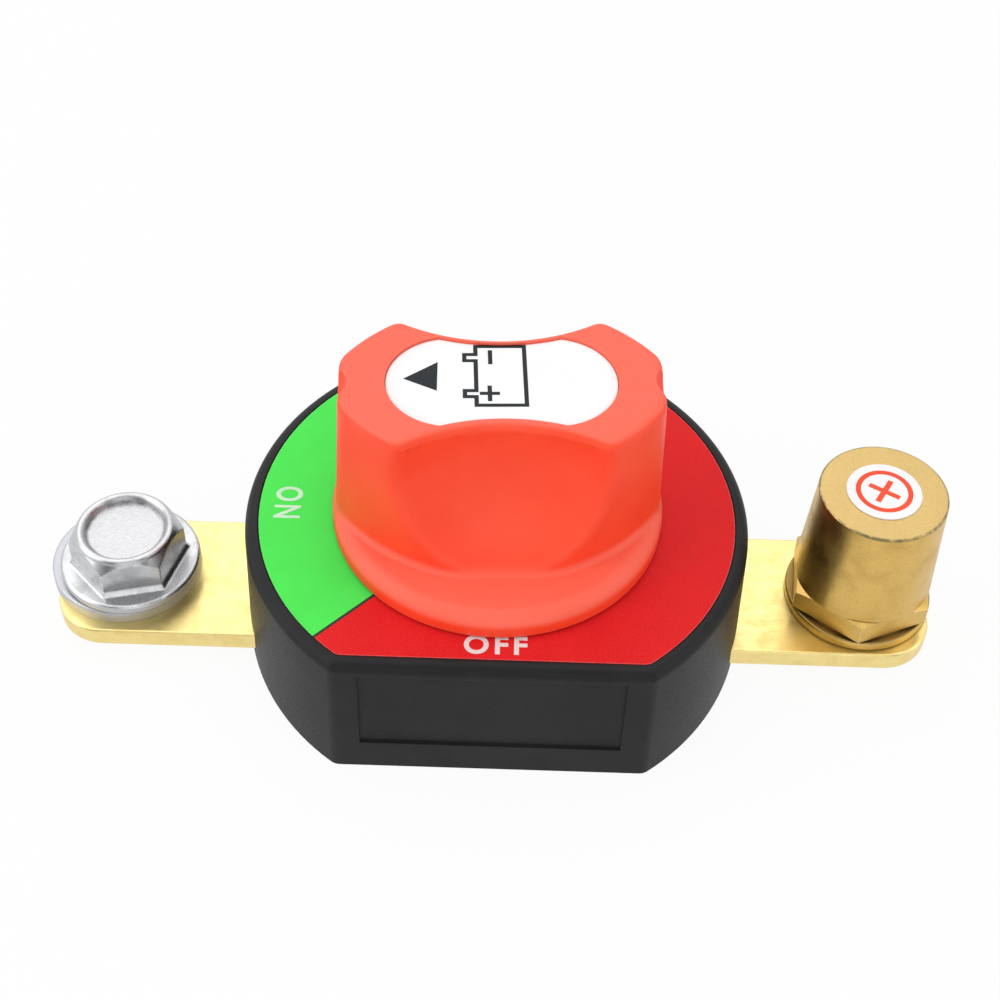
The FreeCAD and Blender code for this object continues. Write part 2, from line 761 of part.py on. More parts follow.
def post_washer():
    body = ring(post_washer_r, thread_r + fit_gap, bar_top, washer_top, terminal_x, terminal_push)
    return body.makeFillet(washer_edge_r, [outer_edge(body, washer_top)])


def post_label():
    z0 = washer_top + post_hex_height + post_length
    return cylinder(post_label_r, z0, z0 + post_label_thick, terminal_x, terminal_push)


def bolt_head_envelope(top):
    """Solid of revolution that bevels the hexagon and shapes the ring and the dish on its top."""
    outer = bolt_flange_r
    outer_z = top - bolt_ring_drop - (outer - bolt_ring_r) * bolt_bevel_slope
    inner = bolt_ring_r - bolt_ring_width
    inner_z = top - bolt_ring_drop / 2.0
    floor = top - bolt_dish_depth
    low = bolt_seat
    edges = [
        line(V(0, 0, low), V(outer, 0, low)),
        line(V(outer, 0, low), V(outer, 0, outer_z)),
        line(V(outer, 0, outer_z), V(bolt_ring_r, 0, top - bolt_ring_drop)),
        arc(V(bolt_ring_r, 0, top - bolt_ring_drop), V(inner + bolt_ring_width / 2.0, 0, top), V(inner, 0, inner_z)),
        line(V(inner, 0, inner_z), V(inner - bolt_dish_lean, 0, floor)),
        line(V(inner - bolt_dish_lean, 0, floor), V(0, 0, floor)),
        line(V(0, 0, floor), V(0, 0, low)),
    ]
    return Part.Face(Part.Wire(edges)).revolve(V(0, 0, 0), V(0, 0, 1), 360)


def terminal_bolt():
    """Hexagon bolt with a flange, a flared foot to the hexagon, and a raised ring round a dish on top."""
    top = bolt_seat + bolt_head_height
    rim = bolt_seat + bolt_flange_edge
    lip = bolt_flange_lip
    flange = turned([
        (0, bolt_seat),
        (bolt_flange_r - lip, bolt_seat),
        (bolt_flange_r, bolt_seat + lip),
        (bolt_flange_r, rim - lip),
        (bolt_flange_r - lip, rim),
        (0, rim),
    ])
    head = hexagon(bolt_hex, rim - lip, top, bolt_hex_deg)
    upright = [e for e in head.Edges if e.BoundBox.ZLength > bolt_head_height / 2.0]
    head = head.makeFillet(bolt_hex_edge_r, upright).common(bolt_head_envelope(top))
    wide = hexagon_wire(bolt_foot_hex, rim, bolt_hex_deg)
    narrow = hexagon_wire(bolt_hex, rim + bolt_foot_height, bolt_hex_deg)
    body = head.fuse(Part.makeLoft([wide, narrow], True, True)).fuse(flange).fuse(stud(bolt_seat))
    body.translate(V(-terminal_x, terminal_push, 0))
    return body


def bolt_washer():
    """Plain washer, pushed to one side of the bolt as far as its hole lets it."""
    body = ring(bolt_washer_r, thread_r + bolt_washer_play, bar_top, bolt_seat)
    body = body.makeFillet(washer_edge_r, [outer_edge(body, bolt_seat)])
    way = math.radians(bolt_washer_deg)
    shift = V(math.cos(way), math.sin(way), 0) * bolt_washer_play
    body.translate(V(-terminal_x, terminal_push, 0) + shift)
    return body


def build():
    fixed = {
        "housing_shell": housing_shell(),
        "dial_label": dial_label(),
        "base_cover": base_cover(),
        "strip_right": bar(),
        "strip_left": bar().mirror(V(0, 0, 0), V(1, 0, 0)),
        "fixed_contact_right": fixed_contact(contact_x),
        "fixed_contact_left": fixed_contact(-contact_x),
        "insulator_plate": insulator_plate(),
        "thrust_washer": thrust_washer(),
        "terminal_post": terminal_post(),
        "post_washer": post_washer(),
        "post_label": post_label(),
        "terminal_bolt": terminal_bolt(),
        "bolt_washer": bolt_washer(),
    }
    for number, place in enumerate(boss_places, start=1):
        fixed["base_screw_%d" % number] = base_screw(place)
    turning = {
        "rotor": rotor(),
        "shaft_seal": shaft_seal(),
        "contact_bridge": contact_bridge(),
        "contact_spring": contact_spring(),
        "knob": knob(),
        "knob_insert": knob_insert(),
        "knob_screw": knob_screw(),
        "knob_screw_washer": knob_screw_washer(),
    }
    for shape in turning.values():
        shape.rotate(V(0, 0, 0), V(0, 0, 1), on_stop_deg)
    return {**fixed, **turning}


os.makedirs("parts", exist_ok=True)
for name, shape in build().items():
    shape.exportStep("parts/%s.step" % name)
    print(name, "solids", len(shape.Solids), "volume", round(shape.Volume, 1), "valid", shape.isValid())
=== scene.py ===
import bpy
import json
import math
from mathutils import Matrix, Vector

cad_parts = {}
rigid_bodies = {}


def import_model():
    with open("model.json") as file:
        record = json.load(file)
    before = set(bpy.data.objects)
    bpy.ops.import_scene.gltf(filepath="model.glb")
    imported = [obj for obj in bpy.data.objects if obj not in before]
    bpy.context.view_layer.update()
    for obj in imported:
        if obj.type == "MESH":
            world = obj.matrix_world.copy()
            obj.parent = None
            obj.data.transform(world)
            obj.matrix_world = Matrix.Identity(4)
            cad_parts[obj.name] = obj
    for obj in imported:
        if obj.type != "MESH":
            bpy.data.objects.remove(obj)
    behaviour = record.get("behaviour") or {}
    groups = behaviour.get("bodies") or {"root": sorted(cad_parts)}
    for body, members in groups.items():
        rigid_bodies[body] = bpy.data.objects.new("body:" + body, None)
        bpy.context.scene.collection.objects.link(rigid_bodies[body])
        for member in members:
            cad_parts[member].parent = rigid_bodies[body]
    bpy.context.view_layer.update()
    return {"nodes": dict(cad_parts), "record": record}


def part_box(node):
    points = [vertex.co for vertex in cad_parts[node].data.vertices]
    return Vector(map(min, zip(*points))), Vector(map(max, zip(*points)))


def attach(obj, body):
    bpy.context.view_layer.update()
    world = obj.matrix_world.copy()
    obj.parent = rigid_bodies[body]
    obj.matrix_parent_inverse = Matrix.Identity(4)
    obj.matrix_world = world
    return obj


# Battery terminal disconnect switch: finishes, print and studio for the CAD solids.
# Lengths are named in millimetres and turned into metres by MM. +Z is up the knob's axis.

MM = 0.001
WHITE = (1.0, 1.0, 1.0)

# Camera
CAMERA_PLACE = Vector((-0.60, -155.55, 190.04)) * MM
CAMERA_TARGET = Vector((0.30, 0.0, 22.68)) * MM
CAMERA_ROLL = math.radians(2.1)
CAMERA_LENS = 60.25
CAMERA_SENSOR = 36.0
CAMERA_NEAR = 5 * MM

# Studio: the sky lights evenly, and glossy surfaces see it darker towards DARK_SIDE
SKY_LEVEL = 0.45
DARK_SIDE = Vector((0.0, -0.94, 0.34))
DARK_SIDE_LEVEL = 0.22
FLOOR_SIZE = 6.0
FLOOR_DROP = 0.02 * MM
FLOOR_GREY = (0.86, 0.86, 0.86)
FLOOR_GLOW = 0.93

# Lamps: place and disc diameter in metres, power in watts
LAMPS = {
    "key_lamp": ((-0.18, 0.28, 0.90), 1.6, 5.9),
    "left_lamp": ((-0.75, -0.20, 0.40), 0.8, 2.4),
    "right_lamp": ((0.75, -0.20, 0.40), 0.8, 1.2),
    "front_lamp": ((0.10, -0.85, 0.40), 0.8, 2.0),
}

# Places on the metal parts; WHOLE_R is wider than either of them
POST_TOP_R = 8.77 * MM
DISH_R = 5.6 * MM
WHOLE_R = 20 * MM

# Shader nodes: samples of a soft edge, and a Mix node's sockets for mask, first and second value
BEVEL_SAMPLES = 4
MIX_COLOUR_SOCKETS = (0, 6, 7)
MIX_NUMBER_SOCKETS = (0, 2, 3)

# Print on the dial: places in millimetres, and how much heavier than the plain font the words are
PRINT_THICK = 0.03 * MM
MERGE_DISTANCE = 0.0005 * MM
DIAL_LINE_HALF = 0.2 * MM * math.sqrt(2)
WORD_SPACING = 1.28
WORD_ON_X = (-30.57, -26.87)
WORD_ON_Y = (-2.73, 3.11)
WORD_ON_HEAVIER = 0.07 * MM
WORD_OFF_X = (-3.78, 4.35)
WORD_OFF_Y = (-24.97, -21.95)
WORD_OFF_HEAVIER = 0.09 * MM

# Signs on the knob, in millimetres, turned with it to its stop
KNOB_TURN = math.radians(2.8)
SIGN_LINE = 0.55
ARROW = [(-12.53, 0.65), (-8.28, -1.56), (-8.14, 3.75)]
BATTERY_X = (-3.55, 3.3)
BATTERY_Y = (-4.5, 7.0)
BATTERY_TERMINAL_X = -5.0
BATTERY_TERMINALS_Y = ((-2.94, -1.29), (3.74, 5.46))
PLUS_PLACE = (-1.58, -2.07)
PLUS_HALF = (1.27, 1.41)
MINUS_X = -1.4
MINUS_Y = (3.36, 6.0)

# Sign on the post, in millimetres
POST_SIGN_TURN = math.radians(-31.0)
POST_RING_OUTER = 3.87
POST_RING_LINE = 0.69
POST_PLUS_LENGTH = 4.47
POST_PLUS_LINE = 0.75


def clear_scene():
    for leftover in list(bpy.data.objects):
        bpy.data.objects.remove(leftover)


def deselect_all():
    for obj in bpy.context.view_layer.objects:
        obj.select_set(False)


def select_only(obj):
    deselect_all()
    obj.select_set(True)
    bpy.context.view_layer.objects.active = obj


def box_centre(node):
    low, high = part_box(node)
    return (low + high) / 2


# Node helpers

def add_node(tree, kind, inputs=(), **settings):
    """Adds a node; an input is linked where its value is another node's socket, and set otherwise."""
    made = tree.nodes.new(kind)
    for name, value in settings.items():
        setattr(made, name, value)
    for key, value in dict(inputs).items():
        feed(tree, made.inputs[key], value)
    return made


def feed(tree, socket, value):
    if isinstance(value, bpy.types.NodeSocket):
        tree.links.new(value, socket)
    else:
        socket.default_value = value


def maths(tree, operation, *values, clamp=False):
    made = add_node(tree, "ShaderNodeMath", operation=operation, use_clamp=clamp)
    for socket, value in zip(made.inputs, values):
        feed(tree, socket, value)
    return made.outputs[0]


def mix(tree, mask, first, second):
    """Colour that goes from first to second where the mask goes from 0 to 1."""
    made = add_node(tree, "ShaderNodeMix", data_type="RGBA")
    for i, value in zip(MIX_COLOUR_SOCKETS, (mask, first, second)):
        feed(tree, made.inputs[i], (*value, 1.0) if isinstance(value, tuple) else value)
    return made.outputs[2]


def mix_value(tree, mask, first, second):
    """Number that goes from first to second where the mask goes from 0 to 1."""
    inputs = dict(zip(MIX_NUMBER_SOCKETS, (mask, first, second)))
    return add_node(tree, "ShaderNodeMix", inputs, data_type="FLOAT").outputs[0]


def spread(tree, value, low, high, to_low=0.0, to_high=1.0):
    """Maps low..high smoothly to to_low..to_high, held at both ends."""
    made = add_node(tree, "ShaderNodeMapRange",
                    {0: value, 1: low, 2: high, 3: to_low, 4: to_high}, interpolation_type="SMOOTHSTEP")
    return made.outputs[0]


def times(tree, first, second):
    return maths(tree, "MULTIPLY", first, second)


def inverse(tree, mask):
    return maths(tree, "SUBTRACT", 1.0, mask)


def object_place(tree):
    return add_node(tree, "ShaderNodeTexCoord").outputs["Object"]


def noise(tree, place, size, detail=2.0, roughness=0.5):
    """Smooth noise whose lumps are about size metres across."""
    made = add_node(tree, "ShaderNodeTexNoise",
                    {"Vector": place, "Scale": 1.0 / size, "Detail": detail, "Roughness": roughness})
    return made.outputs[0]


def stretched(tree, place, scale, turn=0.0):
    """Place turned about Z, then scaled, so that a pattern on it runs long in the small directions."""
    if turn:
        place = add_node(tree, "ShaderNodeMapping", {"Vector": place, "Rotation": (0.0, 0.0, turn)}).outputs[0]
    return add_node(tree, "ShaderNodeMapping", {"Vector": place, "Scale": scale}).outputs[0]


def bump(tree, height, strength, depth, normal=None):
    inputs = {"Height": height, "Strength": strength, "Distance": depth}
    if normal is not None:
        inputs["Normal"] = normal
    return add_node(tree, "ShaderNodeBump", inputs).outputs[0]


def soft_edge(tree, radius):
    """Normal of the surface as if its edges were rounded by radius."""
    return add_node(tree, "ShaderNodeBevel", {"Radius": radius}, samples=BEVEL_SAMPLES).outputs[0]


def object_xyz(tree):
    return add_node(tree, "ShaderNodeSeparateXYZ", {0: object_place(tree)}).outputs


def away_from(tree, xyz, centre_x, centre_y):
    """Distance from a vertical axis."""
    x = maths(tree, "SUBTRACT", xyz[0], centre_x)
    y = maths(tree, "SUBTRACT", xyz[1], centre_y)
    return maths(tree, "SQRT", maths(tree, "ADD", times(tree, x, x), times(tree, y, y)))


def feeding(shader, label):
    """The socket that feeds one of the shader's inputs so far."""
    return shader.inputs[label].links[0].from_socket


# Effects that several finishes share

def new_group(name, inputs, outputs):
    """Node group from {name: default} inputs and output names; returns it with its input and output nodes."""
    group = bpy.data.node_groups.new(name, "ShaderNodeTree")
    for label, default in inputs.items():
        socket = group.interface.new_socket(name=label, in_out="INPUT", socket_type="NodeSocketFloat")
        socket.default_value = default
    for label in outputs:
        group.interface.new_socket(name=label, in_out="OUTPUT", socket_type="NodeSocketFloat")
    return group, group.nodes.new("NodeGroupInput"), group.nodes.new("NodeGroupOutput")


def make_edge_wear_and_highlight():
    """Mask that is 1 along a solid's sharp edges, broken up a little; it places edge wear on the metals and a
    painted highlight on the knob's and the dial film's edges.
    """
    group, source, result = new_group("edge_wear_and_highlight", {"Radius": 0.3 * MM, "Gain": 6.0}, ["Mask"])
    rounded = soft_edge(group, source.outputs["Radius"])
    flat = add_node(group, "ShaderNodeNewGeometry").outputs["Normal"]
    along = add_node(group, "ShaderNodeVectorMath", {0: rounded, 1: flat}, operation="DOT_PRODUCT")
    turned = inverse(group, along.outputs["Value"])
    edge = maths(group, "MULTIPLY", turned, source.outputs["Gain"], clamp=True)
    broken = spread(group, noise(group, object_place(group), 0.8 * MM, 3.0), 0.3, 0.6, 0.45, 1.0)
    group.links.new(times(group, edge, broken), result.inputs["Mask"])
    return group


def make_moulded_grain():
    """Fine height and slow tone of a moulded plastic surface."""
    group, source, result = new_group("moulded_grain", {"Grain": 0.25 * MM}, ["Height", "Tone"])
    scale = maths(group, "DIVIDE", 1.0, source.outputs["Grain"])
    fine = add_node(group, "ShaderNodeTexNoise",
                    {"Vector": object_place(group), "Scale": scale, "Detail": 3.0}).outputs[0]
    group.links.new(fine, result.inputs["Height"])
    group.links.new(noise(group, object_place(group), 9 * MM, 3.0), result.inputs["Tone"])
    return group


def make_turning_marks():
    """Fine rings left by a lathe about a vertical axis."""
    inputs = {"Centre X": 0.0, "Centre Y": 0.0, "Pitch": 0.12 * MM}
    group, source, result = new_group("turning_marks", inputs, ["Lines"])
    xyz = object_xyz(group)
    radius = away_from(group, xyz, source.outputs["Centre X"], source.outputs["Centre Y"])
    along = maths(group, "SUBTRACT", radius, xyz[2])
    ring = add_node(group, "ShaderNodeTexNoise",
                    {"W": maths(group, "DIVIDE", along, source.outputs["Pitch"]), "Scale": 1.0, "Detail": 2.0},
                    noise_dimensions="1D").outputs[0]
    group.links.new(ring, result.inputs["Lines"])
    return group


def make_scratches():
    """Height of fine scratches that cross at three angles."""
    group, source, result = new_group("scratches", {"Size": 0.3 * MM}, ["Height"])
    scale = maths(group, "DIVIDE", 1.0, source.outputs["Size"])
    deepest = 0.0
    for turn in (0.3, 1.2, 2.3):
        place = stretched(group, object_place(group), (0.12, 1.0, 1.0), turn)
        streak = add_node(group, "ShaderNodeTexNoise", {"Vector": place, "Scale": scale, "Detail": 2.0})
        deepest = maths(group, "MAXIMUM", deepest, spread(group, streak.outputs[0], 0.52, 0.72))
    group.links.new(deepest, result.inputs["Height"])
    return group


def use_group(tree, group, **values):
    made = add_node(tree, "ShaderNodeGroup", node_tree=group)
    for label, value in values.items():
        made.inputs[label.replace("_", " ")].default_value = value
    return made.outputs


# Finishes

def new_finish(name, colour, roughness, metallic=0.0, **constants):
    """Material with one Principled shader, its constant values set on its own sockets."""
    material = bpy.data.materials.new(name)
    material.use_nodes = True
    shader = material.node_tree.nodes["Principled BSDF"]
    shader.inputs["Base Color"].default_value = (*colour, 1.0)
    shader.inputs["Roughness"].default_value = roughness
    shader.inputs["Metallic"].default_value = metallic
    for label, value in constants.items():
        shader.inputs[label.replace("_", " ")].default_value = value
    return material, material.node_tree, shader


def moulded(name, colour, tone, roughness, grain, depth, edge_radius, **constants):
    """Moulded plastic: slow change of tone, fine grain and soft edges."""
    material, tree, shader = new_finish(name, colour, roughness, **constants)
    surface = use_group(tree, groups["grain"], Grain=grain)
    feed(tree, shader.inputs["Base Color"], mix(tree, spread(tree, surface["Tone"], 0.35, 0.65), colour, tone))
    feed(tree, shader.inputs["Roughness"],
         spread(tree, surface["Height"], 0.3, 0.7, roughness - 0.05, roughness + 0.05))
    normal = bump(tree, surface["Height"], 0.35, depth, soft_edge(tree, edge_radius))
    feed(tree, shader.inputs["Normal"], normal)
    return material, tree, shader


def case_black():
    return moulded("case_plastic", (0.0075, 0.008, 0.009), (0.011, 0.0115, 0.0125), roughness=0.48,
                   grain=0.26 * MM, depth=0.06 * MM, edge_radius=0.25 * MM, Specular_IOR_Level=0.20)[0]


def knob_red():
    """Moulded plastic that lets a little light through, with a painted highlight on its edges and a painted
    sheen on its foot flange and its top.
    """
    material, tree, shader = moulded("knob_plastic", (0.98, 0.066, 0.021), (1.0, 0.077, 0.026), roughness=0.46,
                                     grain=0.35 * MM, depth=0.012 * MM, edge_radius=0.3 * MM,
                                     Specular_IOR_Level=0.36, Subsurface_Weight=0.12,
                                     Subsurface_Scale=1.2 * MM, Subsurface_Radius=(1.0, 0.25, 0.15))
    # Painted highlight: the knob's edges are made paler, as where light glints on them
    edge = use_group(tree, groups["edges"], Radius=0.7 * MM, Gain=2.5)["Mask"]
    height = object_xyz(tree)[2]
    foot, top = (corner.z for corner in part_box("knob"))
    # Painted sheen: the rim of the foot flange and the top face are made paler, as where they catch the light
    above_rim = spread(tree, height, foot + 1.2 * MM, foot + 2.2 * MM)
    below_grip = spread(tree, height, foot + 3.2 * MM, foot + 5.0 * MM, 1.0, 0.0)
    on_top = spread(tree, height, top - 0.5 * MM, top - 0.1 * MM)
    painted_sheen = maths(tree, "ADD", times(tree, above_rim, below_grip), on_top)
    body = mix(tree, painted_sheen, feeding(shader, "Base Color"), (1.0, 0.140, 0.082))
    feed(tree, shader.inputs["Base Color"], mix(tree, times(tree, edge, 0.8), body, (1.0, 0.22, 0.14)))
    return material


def insert_white():
    return moulded("insert_plastic", (0.89, 0.89, 0.89), (0.92, 0.92, 0.92), roughness=0.34,
                   grain=0.5 * MM, depth=0.004 * MM, edge_radius=0.1 * MM)[0]


def inner_nylon():
    return moulded("inner_nylon", (0.72, 0.69, 0.62), (0.78, 0.76, 0.70), roughness=0.5,
                   grain=0.3 * MM, depth=0.01 * MM, edge_radius=0.15 * MM)[0]


def seal_rubber():
    return moulded("seal_rubber", (0.018, 0.018, 0.019), (0.03, 0.03, 0.03), roughness=0.7,
                   grain=0.2 * MM, depth=0.01 * MM, edge_radius=0.1 * MM)[0]


def dial_print():
    """Printed film: green in the left quarter, red elsewhere, a thin dark line between the two."""
    material, tree, shader = new_finish("dial_film", (0.7, 0.02, 0.02), 0.46, Specular_IOR_Level=0.13)
    x, y = object_xyz(tree)[:2]
    side = maths(tree, "ADD", x, maths(tree, "ABSOLUTE", y))
    in_green = maths(tree, "LESS_THAN", side, 0.0)
    tone = noise(tree, object_place(tree), 5 * MM, 3.0)
    speck = noise(tree, object_place(tree), 0.16 * MM, 2.0)
    deeper = spread(tree, tone, 0.35, 0.65)
    red = mix(tree, deeper, (0.70, 0.0075, 0.0095), (0.73, 0.0095, 0.0115))
    green = mix(tree, deeper, (0.066, 0.82, 0.087), (0.072, 0.845, 0.094))
    field = mix(tree, in_green, red, green)
    on_line = maths(tree, "LESS_THAN", maths(tree, "ABSOLUTE", side), DIAL_LINE_HALF)
    lined = mix(tree, on_line, field, (0.03, 0.035, 0.03))
    specked = mix(tree, spread(tree, speck, 0.45, 0.75, 0.0, 0.035), lined, WHITE)
    # Painted highlight: the film's edges are lightened towards white
    film_edge_highlight = use_group(tree, groups["edges"], Radius=0.25 * MM, Gain=5.0)["Mask"]
    with_edge_highlight = mix(tree, times(tree, film_edge_highlight, 0.18), specked, WHITE)
    feed(tree, shader.inputs["Base Color"], with_edge_highlight)
    feed(tree, shader.inputs["Roughness"], spread(tree, tone, 0.3, 0.7, 0.42, 0.52))
    feed(tree, shader.inputs["Normal"], bump(tree, speck, 0.25, 0.008 * MM))
    return material


def metal(name, colour, stain, roughness, marks=None, mark_depth=0.004 * MM, lump=2.5 * MM, stain_reach=0.35,
          edge_colour=None, edge_radius=0.2 * MM, zones=(), speck_reach=0.12):
    """Bare or plated metal: stains, fine marks and brighter edges.

    Each zone is (maker of its mask, colour, roughness), and later zones lie over earlier ones.
    """
    material, tree, shader = new_finish(name, colour, roughness, 1.0)
    place = object_place(tree)
    cloud = noise(tree, place, lump, 4.0, 0.6)
    body = mix(tree, spread(tree, cloud, 0.42, 0.75, 0.0, stain_reach), colour, stain)
    lines = marks(tree) if marks else noise(tree, place, 0.1 * MM, 2.0)
    body = mix(tree, spread(tree, lines, 0.35, 0.75, 0.0, 0.18), body, stain)
    worn = use_group(tree, groups["edges"], Radius=edge_radius, Gain=7.0)["Mask"]
    body = mix(tree, worn, body, edge_colour or colour)
    rough = maths(tree, "ADD", spread(tree, cloud, 0.3, 0.7, roughness - 0.05, roughness + 0.08),
                  spread(tree, lines, 0.3, 0.7, -0.03, 0.05))
    speck = spread(tree, noise(tree, place, 0.16 * MM, 3.0, 0.7), 0.40, 0.65, 0.0, speck_reach)
    for make_mask, zone_colour, zone_roughness in zones:
        mask = make_mask(tree)
        body = mix(tree, mask, body, zone_colour)
        rough = mix_value(tree, mask, rough, zone_roughness)
    body = mix(tree, speck, body, stain)
    feed(tree, shader.inputs["Base Color"], body)
    feed(tree, shader.inputs["Roughness"], rough)
    feed(tree, shader.inputs["Normal"], bump(tree, lines, 0.3, mark_depth, soft_edge(tree, edge_radius)))
    return material, tree, shader


def in_round(tree, axis, radius, low, high, soft=0.05 * MM):
    """1 within radius of a vertical axis and between two levels."""
    xyz = object_xyz(tree)
    inside = spread(tree, away_from(tree, xyz, axis.x, axis.y), radius - soft, radius + soft, 1.0, 0.0)
    above = spread(tree, xyz[2], low - soft, low + soft)
    below = spread(tree, xyz[2], high - soft, high + soft, 1.0, 0.0)
    return times(tree, inside, times(tree, above, below))


def rolled_along_x(tree):
    """Streaks along X, as rolling and brushing leave them."""
    return noise(tree, stretched(tree, object_place(tree), (0.06, 1.0, 1.0)), 0.18 * MM, 3.0)


def turned_about(axis):
    """Maker of the fine rings that turning about this axis leaves."""
    def marks(tree):
        return use_group(tree, groups["turning"], Centre_X=axis.x, Centre_Y=axis.y)["Lines"]
    return marks


def bar_brass():
    return metal("bar_brass", (0.90, 0.735, 0.31), (0.70, 0.50, 0.16), roughness=0.32, marks=rolled_along_x,
                 edge_colour=(1.0, 0.90, 0.58), speck_reach=0.22)[0]


def post_brass():
    """Turned brass: paler top, dark nicks round its rim, painted shade under the hexagon and a painted shadow
    under the washer.
    """
    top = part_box("post_label")[0].z
    clear_above = top + 5 * MM
    bar_level, seat_level = (corner.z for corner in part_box("post_washer"))

    def top_face(tree):
        return in_round(tree, post_axis, WHOLE_R, top - 0.02 * MM, clear_above)

    def rim_nicks(tree):
        whole = in_round(tree, post_axis, WHOLE_R, top - 0.40 * MM, clear_above, 0.1 * MM)
        middle = in_round(tree, post_axis, POST_TOP_R - 0.25 * MM, top - 5 * MM, clear_above, 0.1 * MM)
        rim = times(tree, whole, inverse(tree, middle))
        patches = spread(tree, noise(tree, object_place(tree), 1.1 * MM, 5.0, 0.7), 0.38, 0.57, 0.25, 0.95)
        return times(tree, rim, patches)

    # Painted shade: a dark band round the foot of the hexagon, just above the washer
    def hexagon_foot_shade(tree):
        low = in_round(tree, post_axis, WHOLE_R, seat_level - 0.1 * MM, seat_level + 0.55 * MM, 0.1 * MM)
        return times(tree, low, 0.75)

    # Painted shadow: a dark band round the washer's foot, where it sits on the bar
    def washer_foot_shadow(tree):
        return in_round(tree, post_axis, WHOLE_R, bar_level, bar_level + 0.3 * MM, 0.12 * MM)

    zones = [
        (top_face, (0.54, 0.40, 0.178), 0.42),
        (hexagon_foot_shade, (0.22, 0.16, 0.06), 0.45),
        (washer_foot_shadow, (0.12, 0.09, 0.03), 0.50),
        (rim_nicks, (0.19, 0.18, 0.10), 0.40),
    ]
    return metal("post_brass", (0.74, 0.50, 0.15), (0.40, 0.24, 0.06), roughness=0.34,
                 marks=turned_about(post_axis), mark_depth=0.012 * MM, lump=4 * MM, stain_reach=0.33,
                 edge_colour=(0.90, 0.74, 0.42), zones=zones, speck_reach=0.35)[0]


def bright_zinc():
    """Plated steel: scratched dish on the bolt's head with a painted dark reflection round its inner corner,
    duller washer, painted shade in the gap under the bolt's flange.
    """
    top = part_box("terminal_bolt")[1].z
    washer_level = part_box("bolt_washer")[1].z

    def dish(tree):
        return in_round(tree, bolt_axis, DISH_R, top - 2 * MM, top + MM, 0.1 * MM)

    # Painted dark reflection: patches of dark grey round the dish's inner corner
    def dish_corner_reflection(tree):
        inner = in_round(tree, bolt_axis, DISH_R - 0.45 * MM, 0, top + MM, 0.25 * MM)
        ring = times(tree, dish(tree), inverse(tree, inner))
        patches = spread(tree, noise(tree, object_place(tree), 3 * MM, 3.0), 0.35, 0.6, 0.15, 0.8)
        return times(tree, ring, patches)

    def washer(tree):
        return in_round(tree, bolt_axis, WHOLE_R, 0, washer_level + 1.25 * MM, 0.1 * MM)

    # Painted shade: a dark band in the gap under the bolt's flange, just above the washer
    def flange_gap_shade(tree):
        return in_round(tree, bolt_axis, WHOLE_R, washer_level + 0.15 * MM, washer_level + 0.38 * MM, 0.05 * MM)

    zones = [
        (dish, (0.55, 0.55, 0.56), 0.42),
        (dish_corner_reflection, (0.16, 0.16, 0.17), 0.40),
        (washer, (0.50, 0.51, 0.54), 0.40),
        (flange_gap_shade, (0.14, 0.14, 0.15), 0.45),
    ]
    material, tree, shader = metal("bright_zinc", (0.56, 0.565, 0.575), (0.24, 0.24, 0.25), roughness=0.25,
                                   marks=turned_about(bolt_axis), edge_colour=(0.86, 0.86, 0.86),
                                   edge_radius=0.4 * MM, zones=zones)
    feed(tree, shader.inputs["Metallic"], mix_value(tree, washer(tree), 1.0, 0.7))
    scratch = times(tree, use_group(tree, groups["scratches"], Size=0.24 * MM)["Height"], dish(tree))
    feed(tree, shader.inputs["Normal"], bump(tree, scratch, 0.7, 0.036 * MM, feeding(shader, "Normal")))
    scratched = mix(tree, times(tree, scratch, 0.32), feeding(shader, "Base Color"), (0.72, 0.72, 0.73))
    feed(tree, shader.inputs["Base Color"], scratched)
    return material


def zinc_steel():
    return metal("zinc_steel", (0.70, 0.71, 0.72), (0.50, 0.49, 0.46), roughness=0.32)[0]


def contact_copper():
    return metal("contact_copper", (0.86, 0.48, 0.33), (0.55, 0.27, 0.17), roughness=0.33,
                 marks=rolled_along_x)[0]


def sticker_paper():
    return moulded("sticker_film", (0.91, 0.91, 0.91), (0.93, 0.93, 0.93), roughness=0.45,
                   grain=0.3 * MM, depth=0.004 * MM, edge_radius=0.05 * MM)[0]


def ink(name, colour):
    """Printing ink whose tone is up to 12 % lighter in places."""
    tone = tuple(min(1.0, part * 1.12) for part in colour)
    return moulded(name, colour, tone, roughness=0.5, grain=0.2 * MM, depth=0.003 * MM,
                   edge_radius=0.01 * MM, Specular_IOR_Level=0.2)[0]


# Printed words and signs

def to_mesh(obj):
    """Turns a text or flat curve into one closed mesh."""
    select_only(obj)
    bpy.ops.object.convert(target="MESH")
    bpy.ops.object.mode_set(mode="EDIT")
    bpy.ops.mesh.select_all(action="SELECT")
    bpy.ops.mesh.remove_doubles(threshold=MERGE_DISTANCE)
    bpy.ops.mesh.normals_make_consistent(inside=False)
    bpy.ops.object.mode_set(mode="OBJECT")
    return bpy.context.view_layer.objects.active


def seat(obj, place, turn=0.0):
    """Puts a finished flat piece at its place and bakes the place into its mesh."""
    obj.data.transform(Matrix.Translation(place) @ Matrix.Rotation(turn, 4, "Z"))
    return obj


def flat_sign(name, outlines):
    """Thin print from closed outlines in millimetres; an outline inside another is a hole."""
    curve = bpy.data.curves.new(name, "CURVE")
    curve.dimensions = "2D"
    curve.fill_mode = "BOTH"
    curve.extrude = PRINT_THICK / 2
    for outline in outlines:
        spline = curve.splines.new("POLY")
        spline.points.add(len(outline) - 1)
        for point, (x, y) in zip(spline.points, outline):
            point.co = (x * MM, y * MM, 0, 1)
        spline.use_cyclic_u = True
    obj = bpy.data.objects.new(name, curve)
    bpy.context.scene.collection.objects.link(obj)
    return to_mesh(obj)


